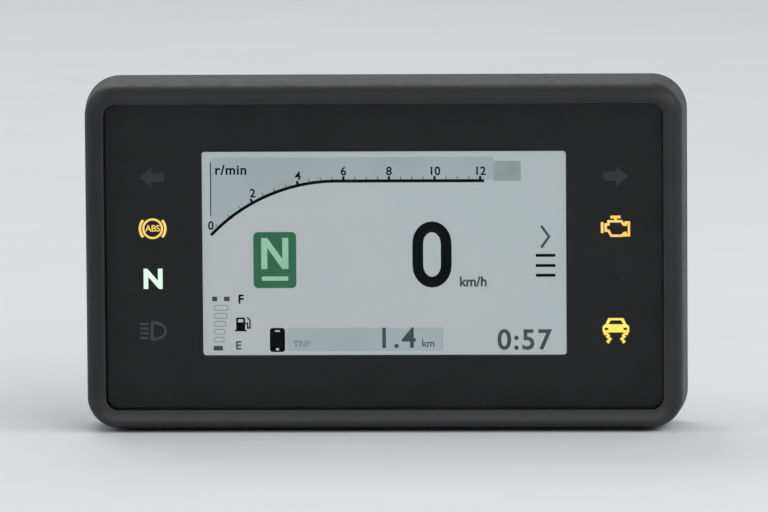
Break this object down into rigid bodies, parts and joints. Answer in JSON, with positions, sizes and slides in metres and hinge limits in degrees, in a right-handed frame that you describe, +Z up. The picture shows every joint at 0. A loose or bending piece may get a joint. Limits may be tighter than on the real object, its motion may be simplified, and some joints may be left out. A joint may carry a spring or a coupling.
{
  "type": "instrument cluster",
  "caption": "Motorcycle instrument cluster: flat rectangular colour display with warning lamps each side, sealed case, threaded bosses and wiring socket behind.",
  "frame": {"origin": "centre of the circle through the mounting bosses, on the plane of their ends, level with the middle of the face", "axes": "+X to the rider's right, +Z up, +Y away from the rider, square to the face"},
  "size_m": [0.1546, 0.039, 0.0904],
  "materials": {
    "bezel_black": "satin black moulded plastic, fine grain",
    "case_black": "matt black glass-filled plastic, spark-eroded grain",
    "clear_lens": "clear hard-coated polycarbonate, anti-glare",
    "mask_black": "black print on film",
    "adhesive": "black adhesive foam tape",
    "foam": "black closed-cell foam",
    "panel_steel": "pressed stainless sheet",
    "lcd_glass": "polarised glass",
    "optical_white": "white optical film and moulding",
    "clear_acrylic": "clear acrylic",
    "led_yellow": "LED phosphor in a white body",
    "polyimide": "amber polyimide with copper tracks",
    "connector_ivory": "ivory connector plastic",
    "chassis_white": "white light-tight plastic",
    "screw_zinc": "zinc-plated steel",
    "screw_black": "black-plated steel",
    "board_green": "green solder mask",
    "chip_black": "black moulding compound",
    "shield_tin": "tinned steel",
    "can_aluminium": "plain aluminium can",
    "pin_tin": "tin-plated brass",
    "socket_black": "black connector plastic",
    "seal_rubber": "black silicone rubber",
    "brass": "turned brass",
    "membrane": "white breather membrane"
  },
  "bodies": {
    "root": {"front_bezel": "bezel_black", "lens_window": "clear_lens", "mask_film": "mask_black", "lens_tape": "adhesive", "panel_foam": "foam", "panel_frame": "panel_steel", "lcd_glass": "lcd_glass", "driver_chip": "chip_black", "diffuser_sheets": "optical_white", "light_guide": "clear_acrylic", "reflector_sheet": "optical_white", "backlight_leds": "led_yellow", "backlight_tray": "optical_white", "panel_flex": "polyimide", "flex_socket": "connector_ivory", "inner_chassis": "chassis_white", "chassis_screws": "screw_zinc", "main_board": "board_green", "board_screws": "screw_zinc", "telltale_leds": "led_yellow", "light_sensor": "chip_black", "processor": "chip_black", "memory_chips": "chip_black", "quartz_crystal": "shield_tin", "interface_chips": "chip_black", "radio_module": "shield_tin", "power_inductor": "chip_black", "capacitors": "can_aluminium", "harness_header": "socket_black", "header_pins": "pin_tin", "header_seal": "seal_rubber", "rear_case": "case_black", "case_seal": "seal_rubber", "case_screws": "screw_black", "mount_inserts": "brass", "vent_membrane": "membrane", "vent_cap": "socket_black"}
  },
  "joints": []
}
